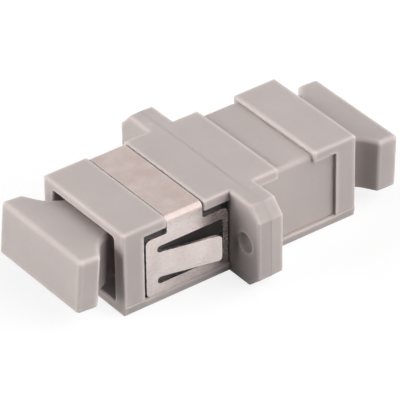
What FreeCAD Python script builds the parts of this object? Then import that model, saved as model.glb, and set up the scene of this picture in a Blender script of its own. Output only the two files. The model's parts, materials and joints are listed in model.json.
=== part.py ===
import FreeCAD, Part
import math
import os

# SC simplex fibre adapter with flange, panel clip and two dust caps, in millimetres.
# X is the optical axis, Y runs along the flange and Z is up.
# The origin is on the optical axis in the plane where the two housing halves meet.
# Every moulding is drawn once on the +X side: the front one is the same piece turned half a turn about Z.

# Panel clip sheet, and how far it lies below the housing's skin
sheet_thickness = 0.35
sheet_sunk = 0.04
bend_radius = 0.3

# Housing half
housing_width = 13.0
housing_height = 9.4
housing_half_length = 14.0
side_floor = 1.16
top_floor = 0.61
long_edge_round = 0.2
mouth_edge_round = 0.18
mouth_chamfer = 0.15
socket_corner = 0.3

# Clip recess: side panel between the flange and the end collar, and a saddle band over the top
top_band_height = 1.1
bottom_rail_height = 1.0
bottom_rail_step = 0.08
bottom_rail_draft = 0.18
end_collar = 2.4
saddle_band_start = 4.48
saddle_band_width = 4.41
saddle_floor_round = 0.5
saddle_rim_chamfer = 0.1

# Key slot through the bottom wall of each socket
key_slot_width = 2.4
key_slot_length = 6.0

# Flange half, with drafted ears that meet at the parting line
ear_length = 4.7
flange_half_thickness = 1.5
ear_draft = 0.08
ear_chamfer_y = 1.36
ear_foot_chamfer_y = 1.6
ear_chamfer_z = 1.47
ear_seam_chamfer = 0.02
flange_edge_round = 0.25
flange_hole_r = 1.1
flange_hole_to_end = 2.2

# Peg that locates one half on the other, with the socket for its twin
housing_peg_r = 0.45
housing_peg_length = 0.6
housing_peg_from_body = 0.85
housing_peg_from_edge = 0.95
peg_clearance = 0.05
peg_end_clearance = 0.1

# Pocket for the two latch bodies, open at the parting plane
pocket_depth = 1.25
pocket_shoulder_y = 0.45
pocket_shoulder_z = 0.25
plate_clearance = 0.05

# Split alignment sleeve
sleeve_bore_r = 1.245
sleeve_wall = 0.355
sleeve_length = 11.4
sleeve_slit = 0.5
sleeve_end_chamfer = 0.12

# Latch body: sleeve tube with a retaining lip, and two hooked arms
sleeve_clearance = 0.05
sleeve_end_play = 0.1
tube_wall = 0.7
tube_lip_length = 0.9
tube_lip_clearance = 0.2
tube_lead_in = 0.35
hook_ahead_of_tube = 3.2
hook_length = 1.1
hook_land = 0.3
hook_depth = 0.55
hook_tip_step = 0.1
arm_flex_gap = 0.4
arm_thickness = 0.6
arm_height = 3.2
arm_root_round = 0.35
latch_peg_r = 0.4
latch_peg_length = 0.5
latch_peg_y = 3.5
latch_peg_from_edge = 1.0

# Panel clip outline
clip_neck_flange_gap = 0.17
clip_neck_collar_gap = 0.03
clip_flange_gap = 0.12
clip_collar_gap = 0.27
clip_rail_gap = 0.02
clip_strip_height = 1.1
clip_bar_width = 0.6
clip_root_length = 1.3
clip_corner = 0.55
clip_window_corner = 0.25
clip_neck_corner = 0.2
slot_width = 0.75
tongue_height = 2.85
tongue_length = 6.15
tongue_angle_deg = 12.7
tongue_bend_radius = 1.0
tongue_flat_root = 0.45
tongue_corner = 0.4

# Dust cap
cap_head_width = 13.0
cap_head_length = 2.33
cap_neck_length = 2.9
cap_taper_inside = 0.15
cap_waist_from_head = 1.25
cap_waist_step = 1.95
cap_neck_round = 3.0
cap_gap_z = 0.79
cap_edge_round = 0.4
stem_hook_clearance = 0.1
stem_engagement = 1.0
stem_step = 0.35
stem_corner = 0.4
stem_lead_in = 0.25
stem_wall = 0.6
core_end_wall = 0.4
core_corner = 0.3

# How far each cap, loose in its socket, tips up about the end of its stem
front_cap_tip_deg = 5.0
rear_cap_tip_deg = -2.0

# Sizes that follow from the ones above
recess_depth = sheet_thickness + sheet_sunk
half_width = housing_width / 2
half_height = housing_height / 2
recess_y = half_width - recess_depth
recess_z = half_height - recess_depth
socket_half_width = recess_y - side_floor
socket_half_height = recess_z - top_floor
band_z = half_height - top_band_height
rail_z = bottom_rail_height - half_height
rail_half_width = half_width + bottom_rail_step
recess_end = housing_half_length - end_collar
saddle_band_end = saddle_band_start + saddle_band_width
flange_half_width = half_width + ear_length
flange_hole_y = flange_half_width - flange_hole_to_end
pocket_half_width = socket_half_width + pocket_shoulder_y
pocket_half_height = socket_half_height + pocket_shoulder_z
sleeve_r = sleeve_bore_r + sleeve_wall
tube_bore_r = sleeve_r + sleeve_clearance
tube_r = tube_bore_r + tube_wall
tube_bore_end = sleeve_length / 2 + sleeve_end_play
tube_tip = tube_bore_end + tube_lip_length
latch_reach = tube_tip + hook_ahead_of_tube
arm_outer_y = socket_half_width - arm_flex_gap
arm_inner_y = arm_outer_y - arm_thickness
hook_y = arm_inner_y - hook_depth
stem_half_width = hook_y - stem_hook_clearance
stem_end = latch_reach - stem_engagement
cap_half_height = socket_half_height - cap_gap_z

V = FreeCAD.Vector
X_AXIS = V(1, 0, 0)
Y_AXIS = V(0, 1, 0)
Z_AXIS = V(0, 0, 1)
ORIGIN = V(0, 0, 0)
NEAR = 1e-4


def rounded_wire(corners, point):
    """Closed wire through (u, v, radius) corners, each rounded by an arc of its radius."""
    spans = []
    for i, (u, v, radius) in enumerate(corners):
        here = V(u, v, 0)
        before = V(corners[i - 1][0], corners[i - 1][1], 0) - here
        after = V(corners[(i + 1) % len(corners)][0], corners[(i + 1) % len(corners)][1], 0) - here
        before.normalize()
        after.normalize()
        half_angle = before.getAngle(after) / 2
        bisector = (before + after).normalize()
        centre = here + bisector * (radius / math.sin(half_angle))
        reach = radius / math.tan(half_angle)
        spans.append((here + before * reach, centre - bisector * radius, here + after * reach, radius))
    edges = []
    for i, (start, middle, end, radius) in enumerate(spans):
        previous_end = spans[i - 1][2]
        if previous_end.distanceToPoint(start) > NEAR:
            edges.append(Part.LineSegment(point(previous_end), point(start)).toShape())
        if radius > 0:
            edges.append(Part.Arc(point(start), point(middle), point(end)).toShape())
    return Part.Wire(edges)


def end_prism(corners, x0, x1):
    """Outline in the YZ plane, swept along X."""
    wire = rounded_wire(corners, lambda p: V(x0, p.x, p.y))
    return Part.Face(wire).extrude(V(x1 - x0, 0, 0))


def side_prism(corners, y0, y1):
    """Outline in the XZ plane, swept along Y."""
    wire = rounded_wire(corners, lambda p: V(p.x, y0, p.y))
    return Part.Face(wire).extrude(V(0, y1 - y0, 0))


def plan_prism(corners, z0, z1):
    """Outline in the XY plane, swept along Z."""
    wire = rounded_wire(corners, lambda p: V(p.x, p.y, z0))
    return Part.Face(wire).extrude(V(0, 0, z1 - z0))


def rectangle(u0, u1, v0, v1, radius=0.0):
    return [(u0, v0, radius), (u1, v0, radius), (u1, v1, radius), (u0, v1, radius)]


def centred(half_u, half_v, radius=0.0):
    return rectangle(-half_u, half_u, -half_v, half_v, radius)


def rod(radius, x0, x1, y=0.0, z=0.0):
    return Part.makeCylinder(radius, x1 - x0, V(x0, y, z), X_AXIS)


def cone(r0, r1, x0, x1):
    return Part.makeCone(r0, r1, x1 - x0, V(x0, 0, 0), X_AXIS)


def edges_where(solid, chosen):
    """Edges whose two end points and middle all satisfy a test."""
    found = []
    for edge in solid.Edges:
        middle = edge.valueAt((edge.FirstParameter + edge.LastParameter) / 2)
        points = [vertex.Point for vertex in edge.Vertexes] + [middle]
        if all(chosen(p) for p in points):
            found.append(edge)
    return found


def softened(solid, radius, chosen):
    return solid.makeFillet(radius, edges_where(solid, chosen))


def at(value, target):
    return abs(value - target) < NEAR


def fused(first, *others):
    return first.fuse(list(others)).removeSplitter()


def turned_to_front(solid):
    return solid.rotated(ORIGIN, Z_AXIS, 180)


def mirrored_pair(solid):
    return [solid, solid.mirror(ORIGIN, Y_AXIS)]


def flange_outline(draft):
    """Ear outline with chamfered corners, drawn in from the parting line by the draft."""
    end_y = flange_half_width - draft
    end_z = half_height - ear_chamfer_z
    side = [
        (end_y - ear_foot_chamfer_y, -half_height),
        (end_y, -end_z),
        (end_y, end_z),
        (end_y - ear_chamfer_y, half_height),
    ]
    return side + [(-y, z) for y, z in reversed(side)]


def flange():
    """Flange half: drafted ears with rounded faces, eased along the seam where the two halves meet."""
    parting = [V(0.0, y, z) for y, z in flange_outline(0.0)]
    face = [V(flange_half_thickness, y, z) for y, z in flange_outline(ear_draft)]
    sides = [[parting[i - 1], parting[i], face[i], face[i - 1]] for i in range(len(face))]
    polygons = [parting[::-1], face] + sides
    shell = Part.makeShell([Part.Face(Part.makePolygon(points + points[:1])) for points in polygons])
    shell.sewShape()
    solid = softened(Part.makeSolid(shell), flange_edge_round, lambda p: at(p.x, flange_half_thickness))
    shoulder_y = flange_half_width - max(ear_chamfer_y, ear_foot_chamfer_y)
    seam = edges_where(solid, lambda p: at(p.x, 0.0) and abs(p.y) > shoulder_y - NEAR)
    return solid.makeChamfer(ear_seam_chamfer, seam)


def clip_recess():
    """Side panels and saddle band that are cut into the housing's skin for the clip."""
    beyond_y = half_width + recess_depth
    beyond_z = half_height + recess_depth
    panel = rectangle(flange_half_thickness, recess_end, rail_z, band_z)
    sides = mirrored_pair(side_prism(panel, recess_y, beyond_y))
    slab = end_prism(rectangle(-beyond_y, beyond_y, band_z - recess_depth, beyond_z),
                     saddle_band_start, saddle_band_end)
    floor = [(-recess_y, -half_height, 0.0), (recess_y, -half_height, 0.0),
             (recess_y, recess_z, saddle_floor_round), (-recess_y, recess_z, saddle_floor_round)]
    core = end_prism(floor, saddle_band_start, saddle_band_end)
    return sides + [slab.cut(core)]


def on_saddle_rim(p):
    """True on the edges where the saddle band's end walls meet the housing's skin."""
    at_band_end = at(p.x, saddle_band_start) or at(p.x, saddle_band_end)
    on_skin = at(abs(p.y), half_width) or p.z > half_height - long_edge_round - NEAR
    return at_band_end and on_skin


def tube_blank(side, joint_half_width):
    """One level of the socket tube, rounded at the mouth but for the edge where the two levels join."""
    outline = side + [(-y, z, radius) for y, z, radius in reversed(side)]
    blank = end_prism(outline, 0.0, housing_half_length)

    def on_mouth_rim(p):
        off_joint = not at(p.z, rail_z) or abs(p.y) > joint_half_width - NEAR
        return at(p.x, housing_half_length) and off_joint

    return softened(blank, mouth_edge_round, on_mouth_rim)


def socket_tube():
    """Upright walls on a bottom rail that stands a little proud of them and draws in below."""
    walls = tube_blank([(half_width, rail_z, 0.0), (half_width, half_height, long_edge_round)], half_width)
    foot = (rail_half_width - bottom_rail_draft, -half_height, long_edge_round)
    rail = tube_blank([foot, (rail_half_width, rail_z, 0.0)], rail_half_width)
    return fused(walls, rail)


def housing():
    """One housing half: socket tube, flange half, clip recess, latch pocket, locating peg and its socket."""
    solid = fused(socket_tube(), flange())
    solid = solid.cut(clip_recess())
    solid = solid.makeChamfer(saddle_rim_chamfer, edges_where(solid, on_saddle_rim))
    socket_section = centred(socket_half_width, socket_half_height, socket_corner)
    socket = end_prism(socket_section, 0.0, housing_half_length)
    pocket = end_prism(centred(pocket_half_width, pocket_half_height), 0.0, pocket_depth)
    solid = solid.cut([socket, pocket])
    mouth = edges_where(solid, lambda p: at(p.x, housing_half_length) and abs(p.y) < socket_half_width + NEAR)
    solid = solid.makeChamfer(mouth_chamfer, mouth)
    key_slot = rectangle(-key_slot_width / 2, key_slot_width / 2, -housing_height, 0.0)
    holes = [end_prism(key_slot, housing_half_length - key_slot_length, housing_half_length)]
    peg_y = half_width + housing_peg_from_body
    peg_z = half_height - housing_peg_from_edge
    socket_depth = housing_peg_length + peg_end_clearance
    for side in (-1, 1):
        holes.append(rod(flange_hole_r, 0.0, flange_half_thickness, side * flange_hole_y))
    holes.append(rod(housing_peg_r + peg_clearance, 0.0, socket_depth, -peg_y, peg_z))
    peg = rod(housing_peg_r, -housing_peg_length, 0.0, peg_y, peg_z)
    return fused(solid.cut(holes), peg)


def latch_arm():
    """Cantilever arm on +Y with its inward hook, root rounded into the plate."""
    root_x = pocket_depth / 2
    catch_x = latch_reach - hook_length
    profile = [
        (root_x, arm_outer_y + arm_root_round, 0.0),
        (pocket_depth, arm_outer_y + arm_root_round, 0.0),
        (pocket_depth, arm_outer_y, arm_root_round),
        (latch_reach, arm_outer_y, 0.0),
        (latch_reach, arm_inner_y - hook_tip_step, 0.0),
        (catch_x + hook_land, hook_y, 0.0),
        (catch_x, hook_y, 0.0),
        (catch_x, arm_inner_y, 0.0),
        (pocket_depth, arm_inner_y, arm_root_round),
        (pocket_depth, arm_inner_y - arm_root_round, 0.0),
        (root_x, arm_inner_y - arm_root_round, 0.0),
    ]
    return plan_prism(profile, -arm_height / 2, arm_height / 2)


def latch_body():
    """Sleeve holder that the housing clamps: plate, sleeve tube, latch arms and a peg to its twin."""
    plate_y = pocket_half_width - plate_clearance
    plate_z = pocket_half_height - plate_clearance
    plate = end_prism(centred(plate_y, plate_z), 0.0, pocket_depth)
    tube = rod(tube_r, 0.0, tube_tip - tube_lead_in)
    nose = cone(tube_r, tube_r - tube_lead_in, tube_tip - tube_lead_in, tube_tip)
    solid = fused(plate, tube, nose, *mirrored_pair(latch_arm()))
    lip_r = sleeve_bore_r + tube_lip_clearance
    lead_in_start = tube_tip - tube_lead_in
    peg_z = plate_z - latch_peg_from_edge
    socket_depth = latch_peg_length + peg_end_clearance
    holes = [
        rod(tube_bore_r, 0.0, tube_bore_end),
        rod(lip_r, 0.0, tube_tip),
        cone(lip_r, lip_r + tube_lead_in, lead_in_start, tube_tip),
        rod(latch_peg_r + peg_clearance, 0.0, socket_depth, -latch_peg_y, peg_z),
    ]
    peg = rod(latch_peg_r, -latch_peg_length, 0.0, latch_peg_y, peg_z)
    return fused(solid.cut(holes), peg)


def alignment_sleeve():
    """Split sleeve with bevelled ends, slit along its top."""
    half = sleeve_length / 2
    bevel = sleeve_end_chamfer
    solid = rod(sleeve_r, -half, half).cut(rod(sleeve_bore_r, -half, half))
    mouths = edges_where(solid, lambda p: at(abs(p.x), half) and math.hypot(p.y, p.z) < sleeve_bore_r + NEAR)
    solid = solid.makeChamfer(bevel, mouths)
    slit = end_prism(rectangle(-sleeve_slit / 2, sleeve_slit / 2, 0.0, 2 * sleeve_r), -half, half)
    return solid.cut(slit)


def clip_tongue():
    """Sprung tongue on +Y that leans out of the window towards the flange."""
    outer_y = recess_y + sheet_thickness
    bend_x = recess_end - clip_collar_gap - clip_root_length - tongue_flat_root
    angle = math.radians(tongue_angle_deg)
    along = V(-math.cos(angle), math.sin(angle), 0)
    centre = V(bend_x, outer_y + tongue_bend_radius, 0)

    def on_bend(radius, turn):
        return centre + V(-math.sin(turn), -math.cos(turn), 0) * radius

    concave = tongue_bend_radius
    convex = tongue_bend_radius + sheet_thickness
    concave_end = on_bend(concave, angle)
    convex_end = on_bend(convex, angle)
    concave_tip = concave_end + along * tongue_length
    convex_tip = convex_end + along * tongue_length
    edges = [
        Part.Arc(on_bend(concave, 0), on_bend(concave, angle / 2), concave_end).toShape(),
        Part.LineSegment(concave_end, concave_tip).toShape(),
        Part.LineSegment(concave_tip, convex_tip).toShape(),
        Part.LineSegment(convex_tip, convex_end).toShape(),
        Part.Arc(convex_end, on_bend(convex, angle / 2), on_bend(convex, 0)).toShape(),
        Part.LineSegment(on_bend(convex, 0), on_bend(concave, 0)).toShape(),
    ]
    tongue_bottom = rail_z + clip_rail_gap + clip_strip_height + slot_width
    tongue_top = tongue_bottom + tongue_height
    strip = Part.Face(Part.Wire(edges)).extrude(V(0, 0, tongue_height))
    strip.translate(V(0, 0, tongue_bottom))
    outline = [
        (concave_tip.x, tongue_bottom, tongue_corner),
        (bend_x, tongue_bottom, 0.0),
        (bend_x, tongue_top, 0.0),
        (concave_tip.x, tongue_top, tongue_corner),
    ]
    return strip.common(side_prism(outline, 0.0, flange_half_width))


def clip_side():
    """Side plate on +Y with its neck to the saddle, its window and its tongue."""
    outer_y = recess_y + sheet_thickness
    flange_end = flange_half_thickness + clip_flange_gap
    collar_end = recess_end - clip_collar_gap
    bottom = rail_z + clip_rail_gap
    tongue_bottom = bottom + clip_strip_height + slot_width
    tongue_top = tongue_bottom + tongue_height
    top = tongue_top + slot_width + clip_strip_height
    neck_start = saddle_band_start + clip_neck_flange_gap
    neck_end = saddle_band_end - clip_neck_collar_gap
    neck_top = recess_z - bend_radius
    plate = side_prism([
        (flange_end, bottom, clip_window_corner),
        (collar_end, bottom, clip_corner),
        (collar_end, top, clip_corner),
        (neck_end, top, clip_neck_corner),
        (neck_end, neck_top, 0.0),
        (neck_start, neck_top, 0.0),
        (neck_start, top, clip_neck_corner),
        (flange_end, top, clip_corner),
    ], recess_y, outer_y)
    window_start = flange_end + clip_bar_width
    root_x = collar_end - clip_root_length
    bend_x = root_x - tongue_flat_root
    slot_round = slot_width / 2 - NEAR
    window = rectangle(window_start, bend_x, tongue_bottom - slot_width, tongue_top + slot_width,
                       clip_window_corner)
    cuts = [window]
    for slot_bottom in (tongue_bottom - slot_width, tongue_top):
        cuts.append(rectangle(window_start, root_x, slot_bottom, slot_bottom + slot_width, slot_round))
    plate = plate.cut([side_prism(outline, recess_y, outer_y) for outline in cuts])
    return fused(plate, clip_tongue())


def panel_clip():
    """One folded sheet: a saddle over the housing with a side plate at each end."""
    neck_start = saddle_band_start + clip_neck_flange_gap
    neck_end = saddle_band_end - clip_neck_collar_gap
    neck_top = recess_z - bend_radius
    outer_y = recess_y + sheet_thickness
    outer_z = recess_z + sheet_thickness
    outer_round = bend_radius + sheet_thickness
    arch = [(-outer_y, neck_top, 0.0), (outer_y, neck_top, 0.0),
            (outer_y, outer_z, outer_round), (-outer_y, outer_z, outer_round)]
    inside = [(-recess_y, 0.0, 0.0), (recess_y, 0.0, 0.0),
              (recess_y, recess_z, bend_radius), (-recess_y, recess_z, bend_radius)]
    saddle = end_prism(arch, neck_start, neck_end).cut(end_prism(inside, neck_start, neck_end))
    return fused(saddle, *mirrored_pair(clip_side()))


def dust_cap():
    """Solid head on a waisted neck, with a cored stem that the latch hooks hold."""
    head_start = housing_half_length + cap_neck_length
    head_end = head_start + cap_head_length
    neck_end = housing_half_length - cap_taper_inside
    half_head = cap_head_width / 2
    half_neck = stem_half_width + stem_step
    side = [
        (head_end, half_head, cap_edge_round),
        (head_start, half_head, cap_edge_round),
        (head_start - cap_waist_from_head, half_head - cap_waist_step, cap_neck_round),
        (neck_end, half_neck, 0.0),
    ]
    outline = side + [(x, -y, radius) for x, y, radius in reversed(side)]
    head = plan_prism(outline, -cap_half_height, cap_half_height)

    def on_head_rim(p):
        before_neck_end = p.x > neck_end + NEAR or abs(p.y) > half_neck - NEAR
        return at(abs(p.z), cap_half_height) and before_neck_end

    head = softened(head, cap_edge_round, on_head_rim)
    stem_half_height = cap_half_height - stem_step
    stem = end_prism(centred(stem_half_width, stem_half_height, stem_corner), stem_end, neck_end)
    stem = stem.makeChamfer(stem_lead_in, edges_where(stem, lambda p: at(p.x, stem_end)))
    core = centred(stem_half_width - stem_wall, stem_half_height - stem_wall, core_corner)
    return fused(head, stem).cut(end_prism(core, stem_end, neck_end - core_end_wall))


def tipped(cap, degrees):
    """The cap turned up about the end of its stem."""
    return cap.rotated(V(stem_end, 0, 0), Y_AXIS, -degrees)


parts = {
    "alignment_sleeve": alignment_sleeve(),
    "panel_clip": turned_to_front(panel_clip()),
    "rear_dust_cap": tipped(dust_cap(), rear_cap_tip_deg),
    "front_dust_cap": turned_to_front(tipped(dust_cap(), front_cap_tip_deg)),
}
for piece, solid in {"housing": housing(), "latch_body": latch_body()}.items():
    parts["rear_" + piece] = solid
    parts["front_" + piece] = turned_to_front(solid)

os.makedirs("parts", exist_ok=True)
for node, shape in parts.items():
    shape.exportStep("parts/" + node + ".step")
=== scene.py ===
"""Looks of the fibre adapter: satin mouldings, a sprung steel clip, soft studio light and a white floor."""
import json
import math

import bpy
from mathutils import Matrix, Vector


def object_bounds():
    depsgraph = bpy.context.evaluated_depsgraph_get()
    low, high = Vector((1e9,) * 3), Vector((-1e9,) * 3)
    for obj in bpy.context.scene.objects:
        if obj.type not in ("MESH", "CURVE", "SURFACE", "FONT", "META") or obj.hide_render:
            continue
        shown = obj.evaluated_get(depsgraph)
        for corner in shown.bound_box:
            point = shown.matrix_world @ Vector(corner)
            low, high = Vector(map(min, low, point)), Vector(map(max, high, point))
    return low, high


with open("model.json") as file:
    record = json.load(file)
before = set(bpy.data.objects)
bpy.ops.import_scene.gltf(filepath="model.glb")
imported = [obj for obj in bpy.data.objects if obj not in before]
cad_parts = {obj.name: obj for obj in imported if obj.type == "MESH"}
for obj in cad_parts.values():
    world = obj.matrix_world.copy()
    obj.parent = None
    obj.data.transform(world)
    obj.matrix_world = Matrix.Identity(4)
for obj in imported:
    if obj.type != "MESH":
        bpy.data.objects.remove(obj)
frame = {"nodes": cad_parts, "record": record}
cad_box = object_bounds()

MM = 0.001

# Camera, at the photograph's view
camera_azimuth_deg = -36.386
camera_elevation_deg = 34.490
camera_roll_deg = -0.789
camera_distance = 400.0 * MM
camera_lens_mm = 370.5
camera_sensor_mm = 36.0
camera_right = -0.109 * MM
camera_up = -0.446 * MM

# Lights: azimuth from +X to +Y, elevation and spread in degrees, strength, and if reflections show it
lights = {
    "left_light": (150.0, 11.0, 60.0, 5.2, False),
    "low_right_light": (314.0, 12.0, 90.0, 4.8, False),
    "right_light": (308.0, 35.0, 100.0, 1.2, True),
}

# Floor: matt and lifted to white, with a fainter shadow for the camera than for reflections
white = (1.0, 1.0, 1.0, 1.0)
floor_size = 4.0
floor_albedo = {"light": 0.10, "reflection": 0.96, "camera": 0.20}
floor_lift = {"light": 0.0, "reflection": 0.08, "camera": 0.82}

# Mouldings: tint, width of the painted edge highlights, and how deep light goes in
plastic_tint = (0.470, 0.415, 0.398)
latch_tint = (0.440, 0.390, 0.370)
plastics = {
    "housing_plastic": (plastic_tint, 0.55 * MM, 0.40 * MM),
    "latch_plastic": (latch_tint, 0.30 * MM, 0.40 * MM),
    "cap_plastic": (plastic_tint, 0.60 * MM, 1.20 * MM),
}

# Moulded surface: the tint's range from darkest to palest, and what shades and roughens it
plastic_range = (0.96, 1.42)
plastic_roughness = (0.34, 0.46)
sheen_patch_size = 0.8 * MM
cloud_size = 5.0 * MM
cloud_shade = (0.05, 0.20)
tool_grain_size = 0.12 * MM
tool_grain_shade = 0.04
tool_grain_depth = 0.010 * MM
tool_grain_strength = 0.3
# Painted highlight: how much paler the outward edges are drawn
painted_edge_highlight = 0.80
edge_samples = 8

# Welded seam: distances from the flange's middle at which the painted edge highlight starts and is full
seam_fade_x = (0.3 * MM, 0.7 * MM)

# Painted shade on the seat behind the clip, standing in for the clip's shadow, darker than the open skin:
# limits along X, on either side along Y, and along Z
clip_seat_x = (-11.65 * MM, -1.45 * MM)
clip_seat_y = (5.6 * MM, 6.2 * MM)
clip_seat_z = (-3.75 * MM, 3.65 * MM)
clip_seat_painted_shade = 0.10

# Painted shade towards the base, standing in for the floor's occlusion: where it is full and where it ends
# along Z, and how dark it is
painted_base_shade_heights = (-4.3 * MM, -3.4 * MM)
painted_base_shade_level = 0.86

# Sheet steel: shades, rolled surface, and the heights between which the painted warmer, darker reflection
# on the saddle sets in
steel_bright = (0.73, 0.66, 0.64)
steel_warm = (0.54, 0.435, 0.405)
steel_roughness = (0.24, 0.30)
blotch_size = 2.2 * MM
blotch_shade = (0.0, 0.5)
roll_grain_size = 0.05 * MM
roll_grain_stretch = (10.0, 1.0, 1.0)
roll_grain_shade = 0.04
roll_grain_depth = 0.002 * MM
roll_grain_strength = 0.06
painted_saddle_reflection_heights = (3.2 * MM, 4.6 * MM)
painted_saddle_reflection_shift = (0.5, -0.1)
# Painted highlight on the cut edges: its width and how much paler they are drawn
cut_edge_width = 0.12 * MM
painted_cut_edge_highlight = 0.30

# Ceramic: polished, with faint grinding rings round the sleeve
ceramic_tint = (0.82, 0.81, 0.77)
ceramic_dark_share = 0.96
ceramic_roughness = (0.14, 0.26)
ceramic_ior = 2.1
ceramic_cloud_size = 1.5 * MM
ring_width = 0.05 * MM
ring_stretch = (1.0, 20.0, 20.0)
ring_depth = 0.002 * MM
ring_strength = 0.4


class Look:
    """One material in the making, with short calls for the nodes that it needs."""

    def __init__(self, name):
        self.material = bpy.data.materials.new(name)
        self.material.use_nodes = True
        self.tree = self.material.node_tree
        self.shader = self.tree.nodes["Principled BSDF"]
        self.place = self.tree.nodes.new("ShaderNodeTexCoord").outputs["Object"]

    def feed(self, socket, value):
        """Links another node's output to a socket, or sets the socket to a plain value."""
        if isinstance(value, bpy.types.NodeSocket):
            self.tree.links.new(value, socket)
        else:
            socket.default_value = value

    def add(self, kind, inputs, **settings):
        """Adds a shader node of that kind with its settings made and its inputs fed."""
        node = self.tree.nodes.new("ShaderNode" + kind)
        for key, value in settings.items():
            setattr(node, key, value)
        for key, value in inputs.items():
            self.feed(node.inputs[key], value)
        return node

    def finish(self, **sockets):
        """Sets the shader's sockets, written with underscores for spaces."""
        for key, value in sockets.items():
            self.feed(self.shader.inputs[key.replace("_", " ")], value)
        return self.material

    def noise(self, feature_size, detail=2.0, stretch=(1.0, 1.0, 1.0)):
        """Cloudy value from 0 to 1 with features of about that size, drawn out along the stretched axes."""
        scale = [1.0 / factor for factor in stretch]
        place = self.add("Mapping", {"Vector": self.place, "Scale": scale}).outputs["Vector"]
        clouds = self.add("TexNoise", {"Vector": place, "Scale": 1.0 / feature_size, "Detail": detail})
        return clouds.outputs["Fac"]

    def between(self, value, low, high, start=0.3, end=0.7):
        """The value carried from start..end to low..high, with a start and end that suit a noise."""
        return self.add("MapRange", {"Value": value, "From Min": start, "From Max": end,
                                     "To Min": low, "To Max": high}).outputs["Result"]

    def sum(self, first, second):
        return self.add("Math", {0: first, 1: second}, operation="ADD").outputs["Value"]

    def product(self, first, second):
        return self.add("Math", {0: first, 1: second}, operation="MULTIPLY").outputs["Value"]

    def edges(self, width):
        """1 on outward edges, fading to 0 on open faces at about that width."""
        depth = self.add("AmbientOcclusion", {"Distance": width}, inside=True, samples=edge_samples)
        return self.between(depth.outputs["AO"], 1.0, 0.0, 0.5, 1.0)

    def along(self, axis):
        """Place along one axis from the part's middle, in metres."""
        return self.add("SeparateXYZ", {"Vector": self.place}).outputs[axis]

    def beside(self, axis):
        """Distance from the part's middle along one axis, on either side."""
        return self.add("Math", {0: self.along(axis)}, operation="ABSOLUTE").outputs["Value"]

    def within(self, value, low, high):
        """1 where the value lies between two limits, else 0."""
        middle = (low + high) / 2
        inside = self.add("Math", {0: value, 1: middle, 2: high - middle}, operation="COMPARE")
        return inside.outputs["Value"]

    def shades(self, value, dark, light):
        """Colour between two shades by a value from 0 to 1."""
        ramp = self.add("ValToRGB", {"Fac": value})
        ramp.color_ramp.elements[0].color = (*dark, 1.0)
        ramp.color_ramp.elements[1].color = (*light, 1.0)
        return ramp.outputs["Color"]

    def dimmed(self, colour, level):
        return self.add("VectorMath", {0: colour, 3: level}, operation="SCALE").outputs["Vector"]

    def bump(self, height, depth, strength):
        relief = self.add("Bump", {"Height": height, "Distance": depth, "Strength": strength})
        return relief.outputs["Normal"]


def scaled(tint, factor):
    return tuple(channel * factor for channel in tint)


def behind_clip(look):
    """1 on the seat behind the clip, on both sides of the body, else 0."""
    along_body = look.within(look.along("X"), *clip_seat_x)
    at_side = look.within(look.beside("Y"), *clip_seat_y)
    at_height = look.within(look.along("Z"), *clip_seat_z)
    return look.product(look.product(along_body, at_side), at_height)


def moulded_plastic(name, tint, edge_width, softness):
    """Satin moulding: faint flow clouds, fine tool grain, painted highlights on the edges, painted shade on
    the seat behind the clip and painted shade towards the base.
    """
    look = Look(name)
    grain = look.noise(tool_grain_size)
    shade = look.sum(
        look.between(look.noise(cloud_size, detail=3.0), *cloud_shade),
        look.between(grain, -tool_grain_shade, tool_grain_shade),
    )
    # Painted highlight on the outward edges, kept off the welded seam
    off_seam = look.between(look.beside("X"), 0.0, painted_edge_highlight, *seam_fade_x)
    shade = look.sum(shade, look.product(look.edges(edge_width), off_seam))
    colour = look.shades(shade, *(scaled(tint, factor) for factor in plastic_range))
    # Painted shade: the seat behind the clip and the part towards the base are darkened
    painted_clip_shadow = look.between(behind_clip(look), 1.0, clip_seat_painted_shade, 0.0, 1.0)
    painted_shade_factor = look.product(painted_clip_shadow, look.between(look.along("Z"), painted_base_shade_level, 1.0, *painted_base_shade_heights))
    return look.finish(
        Base_Color=look.dimmed(colour, painted_shade_factor),
        Roughness=look.between(look.noise(sheen_patch_size), *plastic_roughness),
        Subsurface_Weight=1.0,
        Subsurface_Radius=(1.0, 1.0, 1.0),
        Subsurface_Scale=softness,
        Normal=look.bump(grain, tool_grain_depth, tool_grain_strength),
    )


def sheet_steel(name):
    """Rolled bright sheet: fine grain along X, blotches, painted highlights on the cut edges and a painted
    warmer, darker reflection on the saddle.
    """
    look = Look(name)
    grain = look.noise(roll_grain_size, detail=3.0, stretch=roll_grain_stretch)
    shade = look.sum(
        look.between(look.noise(blotch_size, detail=4.0), *blotch_shade),
        look.between(grain, -roll_grain_shade, roll_grain_shade),
    )
    # Painted reflection: the saddle on top is drawn warmer and darker than the sides
    shade = look.sum(shade, look.between(look.along("Z"), *painted_saddle_reflection_shift, *painted_saddle_reflection_heights))
    # Painted highlight on the cut edges
    shade = look.sum(shade, look.between(look.edges(cut_edge_width), 0.0, painted_cut_edge_highlight, 0.0, 1.0))
    return look.finish(
        Base_Color=look.shades(shade, steel_warm, steel_bright),
        Metallic=1.0,
        Roughness=look.between(grain, *steel_roughness),
        Normal=look.bump(grain, roll_grain_depth, roll_grain_strength),
    )


def ground_ceramic(name):
    """Polished ceramic with a trace of grinding round it."""
    look = Look(name)
    rings = look.noise(ring_width, stretch=ring_stretch)
    clouds = look.noise(ceramic_cloud_size)
    return look.finish(
        Base_Color=look.shades(clouds, scaled(ceramic_tint, ceramic_dark_share), ceramic_tint),
        Roughness=look.between(rings, *ceramic_roughness),
        IOR=ceramic_ior,
        Normal=look.bump(rings, ring_depth, ring_strength),
    )


def dress(materials):
    """Gives each CAD node the material of its slot in the record."""
    for row in frame["record"]["subparts"]:
        node = frame["nodes"][row["node"]]
        node.data.materials.clear()
        node.data.materials.append(materials[row["material_slot"]])


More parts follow.
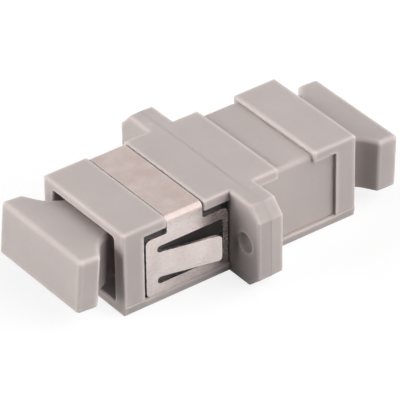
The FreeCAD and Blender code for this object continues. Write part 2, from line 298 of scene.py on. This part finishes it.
def seen_directly(tree):
    """1 for camera, glossy and transmission rays before any matt bounce, 0 for rays that light the part."""
    path = tree.nodes.new("ShaderNodeLightPath")
    value = path.outputs["Is Camera Ray"]
    for name in ("Is Glossy Ray", "Is Transmission Ray"):
        either = tree.nodes.new("ShaderNodeMath")
        either.operation = "MAXIMUM"
        tree.links.new(value, either.inputs[0])
        tree.links.new(path.outputs[name], either.inputs[1])
        value = either.outputs["Value"]
    unbounced = tree.nodes.new("ShaderNodeMath")
    unbounced.operation = "SUBTRACT"
    unbounced.use_clamp = True
    tree.links.new(value, unbounced.inputs[0])
    tree.links.new(path.outputs["Diffuse Depth"], unbounced.inputs[1])
    return unbounced.outputs["Value"]


def by_ray(tree, levels):
    """The level for the ray at hand: the camera's, a reflection's, or that of rays that light the part."""
    path = tree.nodes.new("ShaderNodeLightPath")
    reflection = tree.nodes.new("ShaderNodeMapRange")
    tree.links.new(path.outputs["Is Glossy Ray"], reflection.inputs["Value"])
    reflection.inputs["To Min"].default_value = levels["light"]
    reflection.inputs["To Max"].default_value = levels["reflection"]
    camera = tree.nodes.new("ShaderNodeMapRange")
    tree.links.new(path.outputs["Is Camera Ray"], camera.inputs["Value"])
    tree.links.new(reflection.outputs["Result"], camera.inputs["To Min"])
    camera.inputs["To Max"].default_value = levels["camera"]
    return camera.outputs["Result"]


def white_floor(height):
    """Matt floor that takes the part's shadow, lifted to white where it is seen."""
    bpy.ops.mesh.primitive_plane_add(size=floor_size, location=(0.0, 0.0, height))
    floor = bpy.context.object
    floor.name = "floor"
    material = bpy.data.materials.new("pale_floor")
    material.use_nodes = True
    tree = material.node_tree
    shader = tree.nodes["Principled BSDF"]
    shader.inputs["Roughness"].default_value = 1.0
    shader.inputs["Specular IOR Level"].default_value = 0.0
    shader.inputs["Emission Color"].default_value = white
    tree.links.new(by_ray(tree, floor_albedo), shader.inputs["Base Color"])
    lift = tree.nodes.new("ShaderNodeMath")
    lift.operation = "MULTIPLY"
    tree.links.new(seen_directly(tree), lift.inputs[0])
    tree.links.new(by_ray(tree, floor_lift), lift.inputs[1])
    tree.links.new(lift.outputs["Value"], shader.inputs["Emission Strength"])
    floor.data.materials.append(material)


def white_world():
    """White where the camera or a reflection sees it, with no matt light of its own on the part."""
    world = bpy.data.worlds.new("studio")
    bpy.context.scene.world = world
    world.use_nodes = True
    tree = world.node_tree
    background = tree.nodes["Background"]
    background.inputs["Color"].default_value = white
    tree.links.new(seen_directly(tree), background.inputs["Strength"])


def soft_light(name, azimuth_deg, elevation_deg, spread_deg, strength, reflected):
    """Distant round light from one direction, which reflections show or not."""
    data = bpy.data.lights.new(name, "SUN")
    data.energy = strength
    data.angle = math.radians(spread_deg)
    azimuth = math.radians(azimuth_deg)
    elevation = math.radians(elevation_deg)
    level = math.cos(elevation)
    towards = Vector((level * math.cos(azimuth), level * math.sin(azimuth), math.sin(elevation)))
    light = bpy.data.objects.new(name, data)
    light.visible_glossy = reflected
    light.rotation_mode = "QUATERNION"
    light.rotation_quaternion = towards.to_track_quat("Z", "Y")
    bpy.context.scene.collection.objects.link(light)


def photo_camera():
    """Long lens at the photograph's view, turned about the part's middle, then shifted in its own frame."""
    azimuth = math.radians(camera_azimuth_deg)
    elevation = math.radians(camera_elevation_deg)
    level = Matrix.Rotation(azimuth, 3, "Z") @ Matrix.Rotation(math.pi / 2 - elevation, 3, "X")
    turn = level @ Matrix.Rotation(math.radians(camera_roll_deg), 3, "Z")
    data = bpy.data.cameras.new("photo_camera")
    data.sensor_width = camera_sensor_mm
    data.lens = camera_lens_mm
    data.clip_start = camera_distance / 100
    data.clip_end = camera_distance * 100
    camera = bpy.data.objects.new("photo_camera", data)
    camera.rotation_mode = "QUATERNION"
    camera.rotation_quaternion = turn.to_quaternion()
    camera.location = turn @ Vector((camera_right, camera_up, camera_distance))
    bpy.context.scene.collection.objects.link(camera)
    bpy.context.scene.camera = camera


materials = {slot: moulded_plastic(slot, *setting) for slot, setting in plastics.items()}
materials["clip_steel"] = sheet_steel("clip_steel")
materials["sleeve_ceramic"] = ground_ceramic("sleeve_ceramic")
dress(materials)
white_floor(cad_box[0].z)
white_world()
for light_name, light_setting in lights.items():
    soft_light(light_name, *light_setting)
photo_camera()
bpy.context.scene.view_settings.view_transform = "Standard"
